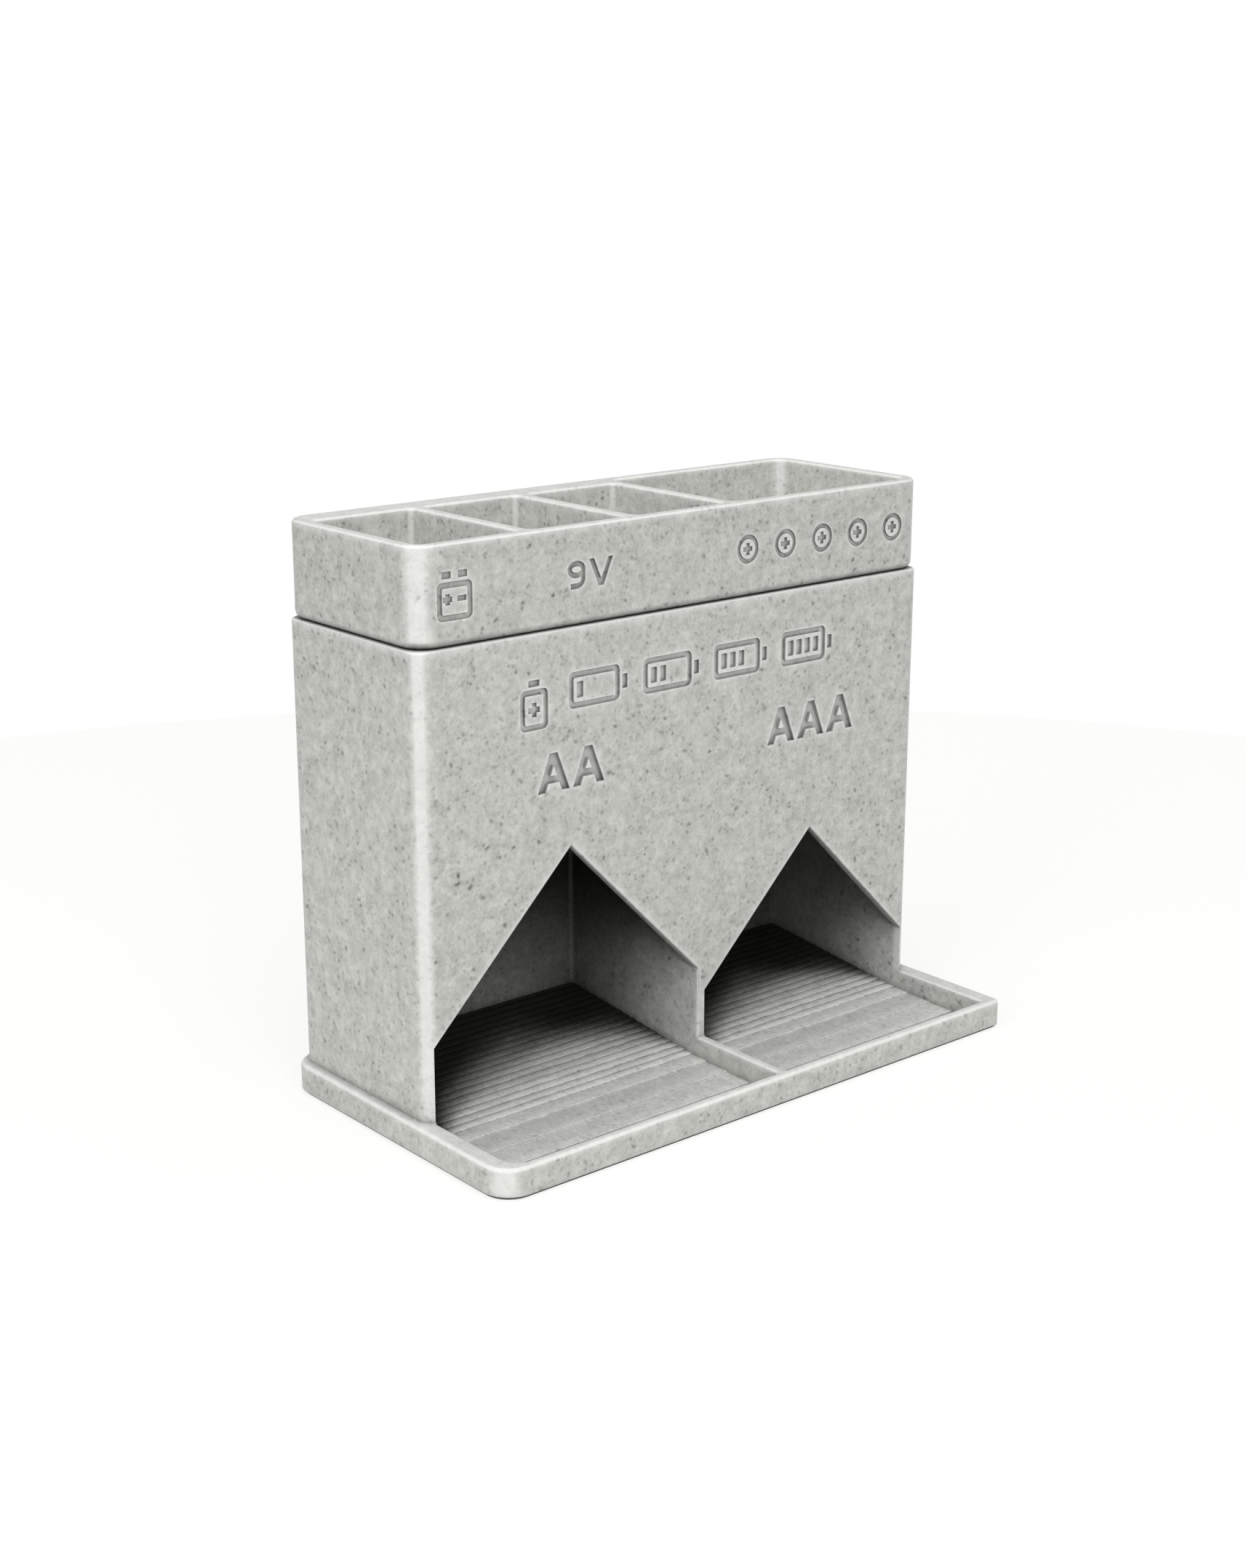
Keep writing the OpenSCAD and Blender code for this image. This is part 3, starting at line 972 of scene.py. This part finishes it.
def lay_ramps(tree, given, ramp, flights, material):
    """Geometry nodes that lay the layers of both ramps, from the group's inputs.

    Each flight has the front of its lowest layer, the height of that one's underside, its number
    of layers and the name of the input that holds its tread.
    """
    # One layer: a flat strip with half-round edges, one metre wide until it is placed
    oblong = {"Width": LAYER_LENGTH * MM, "Height": given["Layer"]}
    flat = output(tree, "GeometryNodeCurvePrimitiveQuadrilateral", oblong)
    rounding = {"Curve": flat, "Count": 4, "Radius": product(tree, given["Layer"], 0.49)}
    soft = output(tree, "GeometryNodeFilletCurve", rounding, mode="POLY")
    across = output(tree, "GeometryNodeCurvePrimitiveLine", {"End": (1, 0, 0)})
    many = output(tree, "GeometryNodeResampleCurve", {"Curve": across, "Count": 41})
    swept = {"Curve": many, "Profile Curve": soft, "Fill Caps": True}
    slab = output(tree, "GeometryNodeCurveToMesh", swept)
    lift = {"Geometry": slab, "Translation": (0, LAYER_LENGTH / 2 * MM, ramp.layer / 2 * MM)}
    upright = output(tree, "GeometryNodeTransform", lift)

    # Places of the layers along each lane, with their sides just inside the walls
    lanes = add_node(tree, "GeometryNodeJoinGeometry")
    for left, right, spring in (AA_LANE, AAA_LANE):
        starts = add_node(tree, "GeometryNodeJoinGeometry")
        for front, low, count, tread in flights:
            row = {
                "Count": count,
                "Start Location": ((left - INTO_WALL) * MM, front, low),
                "Offset": joined(tree, 0.0, given[tread], given["Layer"]),
            }
            line = output(tree, "GeometryNodeMeshLine", row)
            tree.links.new(line, starts.inputs["Geometry"])
        laid = {
            "Points": starts.outputs["Geometry"],
            "Instance": upright,
            "Scale": ((right - left + 2 * INTO_WALL) * MM, 1, 1),
        }
        copies = output(tree, "GeometryNodeInstanceOnPoints", laid)
        tree.links.new(copies, lanes.inputs["Geometry"])
    real = output(tree, "GeometryNodeRealizeInstances", {"Geometry": lanes.outputs["Geometry"]})

    # Uneven front edges, and all layers ended just inside the back wall
    where = output(tree, "GeometryNodeInputPosition")
    shifted = vectors(tree, "ADD", where, joined(tree, given["Seed"], 0.0, 0.0))
    uneven = add_node(
        tree, "ShaderNodeTexNoise", {"Vector": shifted, "Scale": 220.0, "Detail": 2.0}
    )
    middle = maths(tree, "SUBTRACT", uneven.outputs["Fac"], 0.5)
    moved = maths(tree, "ADD", part_of(tree, where, "Y"), product(tree, middle, given["Wobble"]))
    ended = maths(tree, "MINIMUM", moved, (BAY_BACK + INTO_WALL) * MM)
    spot = joined(tree, part_of(tree, where, "X"), ended, part_of(tree, where, "Z"))
    shaped = output(tree, "GeometryNodeSetPosition", {"Geometry": real, "Position": spot})
    painted = output(tree, "GeometryNodeSetMaterial", {"Geometry": shaped, "Material": material})
    add_node(tree, "NodeGroupOutput", {"Geometry": painted})


class DISPENSER_OT_ramps(bpy.types.Operator):
    """Stack the printed layers of the two ramps from the apron to the back wall"""

    bl_idname = "dispenser.ramps"
    bl_label = "Ramps"

    def execute(self, context):
        ramp = context.scene.dispenser_ramp
        plastic = context.scene.dispenser_plastic
        apron_front = (APRON_UPPER_Y - (APRON_LAYERS - 1) * ramp.apron_tread) * MM
        ramp_front = RAMP_LOWEST_Y * MM
        # Painted highlight and shade of one step, as tones from its front edge to the crease at the
        # next one
        noses = ((0.0, 1.02), (0.14, 1.48), (0.45, 1.36), (0.8, 1.05), (1.0, 0.8))
        bands = ((0.0, 1.04), (0.18, 1.02), (0.45, 0.92), (0.85, 0.9), (1.0, 0.98))
        steps = (
            (apron_front, ramp.apron_tread * MM, ramp_front, bands),
            (ramp_front, ramp.ramp_tread * MM, BACK_Y * MM, noses),
        )
        colour = plastic.body_colour
        material = marble_print("Marble PLA ramp", colour, plastic, samples=32, steps=steps)

        tree = bpy.data.node_groups.new("Printed ramp", "GeometryNodeTree")
        inputs = (
            ("Layer", "NodeSocketFloat", ramp.layer * MM),
            ("Apron Tread", "NodeSocketFloat", ramp.apron_tread * MM),
            ("Ramp Tread", "NodeSocketFloat", ramp.ramp_tread * MM),
            ("Wobble", "NodeSocketFloat", ramp.wobble * MM),
            ("Seed", "NodeSocketInt", ramp.seed),
        )
        sockets = [
            tree.interface.new_socket(name, in_out="INPUT", socket_type=kind)
            for name, kind, value in inputs
        ]
        tree.interface.new_socket("Geometry", in_out="OUTPUT", socket_type="NodeSocketGeometry")
        ramp_low = FLOOR_TOP * MM + APRON_LAYERS * ramp.layer * MM
        flights = (
            (apron_front, FLOOR_TOP * MM, APRON_LAYERS, "Apron Tread"),
            (ramp_front, ramp_low, RAMP_LAYERS, "Ramp Tread"),
        )
        lay_ramps(tree, add_node(tree, "NodeGroupInput").outputs, ramp, flights, material)

        layers = bpy.data.objects.new("ramp_layers", bpy.data.meshes.new("ramp_layers"))
        context.scene.collection.objects.link(layers)
        step = layers.modifiers.new("Printed ramp", "NODES")
        step.node_group = tree
        for socket, (name, kind, value) in zip(sockets, inputs):
            step[socket.identifier] = value
        bake(layers)
        mesh = bmesh.new()
        mesh.from_mesh(layers.data)
        bmesh.ops.recalc_face_normals(mesh, faces=mesh.faces)
        mesh.to_mesh(layers.data)
        mesh.free()
        if not layers.data.polygons:
            raise RuntimeError("the ramp layers came out empty")
        dress(layers, "ramp_layers", material)
        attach(layers, "dispenser")
        return {"FINISHED"}


class DISPENSER_OT_tray(bpy.types.Operator):
    """Make the lift-off tray with its pockets, engraved marks and locating lip"""

    bl_idname = "dispenser.tray"
    bl_label = "Tray"

    def execute(self, context):
        edges = context.scene.dispenser_edges
        foot = [(inset, HOUSING_TOP + drop) for inset, drop in quarter(edges.tray_foot)][::-1]
        top = [(inset, TRAY_TOP - drop) for inset, drop in quarter(edges.tray, 6)]
        sides = (-HOUSING_X, FRONT_Y, HOUSING_X, BACK_Y)
        tray = block("tray", sides, [TRAY_CORNER] * 4, foot, top)
        for left, right, back, corner in POCKETS:
            sides = (left, POCKET_FRONT, right, back)
            combine(tray, well("pocket", sides, [corner] * 4, POCKET_FLOOR, TRAY_TOP, edges.tray))

        # The lip is a ring that reaches up into the tray's floor
        reach = HOUSING_X - WALL - LIP_PLAY
        near, far = BAY_FRONT + LIP_PLAY, BAY_BACK - LIP_PLAY
        low = HOUSING_TOP - LIP_DEPTH
        sides = (-reach, near, reach, far)
        high = HOUSING_TOP + PAST
        lip = block("lip", sides, [LIP_CORNER] * 4, [(0, low)], [(0, high)])
        sides = (LIP_WALL - reach, near + LIP_WALL, reach - LIP_WALL, far - LIP_WALL)
        corners = [LIP_INNER_CORNER] * 4
        combine(lip, block("inside", sides, corners, [(0, low - PAST)], [(0, high + PAST)]))
        combine(tray, lip, "UNION")

        marks = context.scene.dispenser_marks
        pictures = placed(block_cell(6.2, 7.1, 0.9), *BLOCK_CELL_AT)
        for k in range(5):
            pictures += placed(coin_cell(4.6, 0.75), *COIN_CELLS_AT, k)
        engrave(tray, pictures, marks.tray_depth)
        letters = placed(figure_nine(3.4, 4.2, 0.85), *NINE_AT)
        letters += placed(letter_v(4.6, 4.2, 0.95), *LETTER_V_AT)
        engrave(tray, letters, marks.fine_depth)
        plastic = context.scene.dispenser_plastic
        # Nothing on the tray gets painted shade as dark as the bays', so a loose of 9 mm takes in its
        # lip too
        colour = plastic.tray_colour
        tone = {"inner": plastic.inner, "loose": 9.0}
        material = marble_print("Marble PLA tray", colour, plastic, samples=6, **tone)
        dress(tray, "tray_shell", material)
        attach(tray, "tray")
        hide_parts("top_tray")
        return {"FINISHED"}


class DISPENSER_OT_stage(bpy.types.Operator):
    """Set up the round table top, the lamps, the white surroundings and the camera"""

    bl_idname = "dispenser.stage"
    bl_label = "Stage"

    def execute(self, context):
        scene = context.scene
        stage = scene.dispenser_stage

        # Round table top
        mesh = bmesh.new()
        rim = arc(*TABLE_MIDDLE, TABLE_RADIUS, TABLE_RADIUS, 0, 360 * 255 / 256, 255)
        mesh.faces.new([mesh.verts.new((x, y, 0)) for x, y in rim])
        table = new_piece("table_top", mesh)
        table.data.materials.append(plain_sheet("Matt white table top", stage.table, stage.clear))

        # Lamps as name, place, size and power, all aimed at the middle of the dispenser
        aim = (Vector(CAD_LOW) + Vector(CAD_HIGH)) / 2
        lamps = (
            ("Overhead softbox", (-0.08, -0.2, 1.0), 1.0, stage.top_light),
            ("Front softbox", (-0.35, -0.75, 0.45), 0.6, stage.front_light),
            ("Left softbox", (-0.85, -0.15, 0.45), 0.6, stage.side_light),
        )
        for name, spot, size, power in lamps:
            lamp = bpy.data.lights.new(name, "AREA")
            lamp.size = size
            lamp.energy = power
            holder = bpy.data.objects.new(name, lamp)
            holder.location = spot
            holder.rotation_euler = (aim - Vector(spot)).to_track_quat("-Z", "Y").to_euler()
            scene.collection.objects.link(holder)

        # White surroundings for the camera, and an even soft light for the object
        world = bpy.data.worlds.new("White surroundings")
        tree = empty_tree(world)
        path = add_node(tree, "ShaderNodeLightPath").outputs
        fill, white = [
            output(tree, "ShaderNodeBackground", {"Color": (1, 1, 1, 1), "Strength": strength})
            for strength in (stage.fill, 1.0)
        ]
        both = mixed_shaders(tree, path["Is Camera Ray"], fill, white)
        add_node(tree, "ShaderNodeOutputWorld", {"Surface": both})
        scene.world = world
        scene.view_settings.view_transform = "Standard"

        camera = bpy.data.cameras.new("Camera")
        camera.lens = CAMERA_LENS
        camera.sensor_width = 36
        camera.clip_start = 0.01
        camera.clip_end = 20
        holder = bpy.data.objects.new("Camera", camera)
        holder.location = CAMERA_PLACE
        holder.rotation_euler = (math.radians(90 - CAMERA_DOWN), 0, math.radians(CAMERA_TURN))
        scene.collection.objects.link(holder)
        scene.camera = holder
        return {"FINISHED"}


class DISPENSER_PT_panel(bpy.types.Panel):
    """Lists the steps that build the dispenser, with their settings"""

    bl_label = "Battery dispenser"
    bl_idname = "DISPENSER_PT_panel"
    bl_space_type = "VIEW_3D"
    bl_region_type = "UI"
    bl_category = "Dispenser"

    def draw(self, context):
        for step in STEPS:
            self.layout.operator(step.bl_idname)
        for name in GROUPS:
            group = getattr(context.scene, name)
            box = self.layout.box()
            for key in group.bl_rna.properties.keys():
                if key not in ("rna_type", "name"):
                    box.prop(group, key)


GROUPS = {
    "dispenser_edges": DispenserEdges,
    "dispenser_ramp": DispenserRamp,
    "dispenser_marks": DispenserMarks,
    "dispenser_plastic": DispenserPlastic,
    "dispenser_stage": DispenserStage,
}
STEPS = (DISPENSER_OT_body, DISPENSER_OT_ramps, DISPENSER_OT_tray, DISPENSER_OT_stage)
CLASSES = tuple(GROUPS.values()) + STEPS + (DISPENSER_PT_panel,)


def register():
    for item in CLASSES:
        bpy.utils.register_class(item)
    for name, group in GROUPS.items():
        setattr(bpy.types.Scene, name, bpy.props.PointerProperty(type=group))


def unregister():
    for name in GROUPS:
        delattr(bpy.types.Scene, name)
    for item in reversed(CLASSES):
        bpy.utils.unregister_class(item)


def main():
    """Builds everything in order."""
    register()
    bpy.ops.dispenser.body()
    bpy.ops.dispenser.ramps()
    bpy.ops.dispenser.tray()
    bpy.ops.dispenser.stage()


if __name__ == "__main__":
    main()
